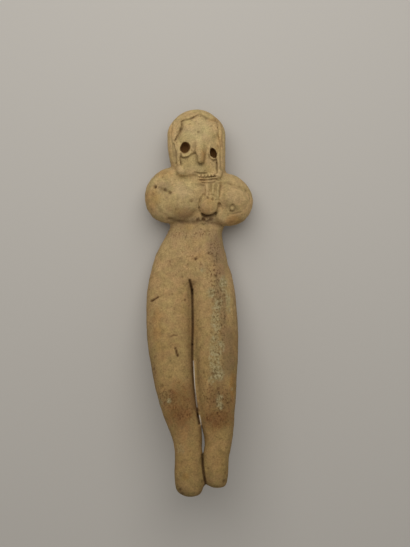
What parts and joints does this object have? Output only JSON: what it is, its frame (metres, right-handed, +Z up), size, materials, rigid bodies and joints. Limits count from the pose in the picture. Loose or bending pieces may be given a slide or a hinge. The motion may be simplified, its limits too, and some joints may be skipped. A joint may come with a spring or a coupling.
{
  "type": "figurine",
  "caption": "Hand-modelled clay figurine of a seated woman with arms curled under the breasts, punched eyes, beaked nose, parted hair and a pendant necklace, lying on her back.",
  "frame": {"origin": "centre of the outline seen from above, on the surface that she lies on", "axes": "+Z up, out of her face; +Y along the body from the toes to the crown; +X towards her own left side"},
  "size_m": [0.0354, 0.122, 0.03],
  "materials": {
    "terracotta": "fired clay, matt, buff with reddish knees and a grey stain"
  },
  "bodies": {
    "root": {"figurine": "terracotta"}
  },
  "joints": []
}
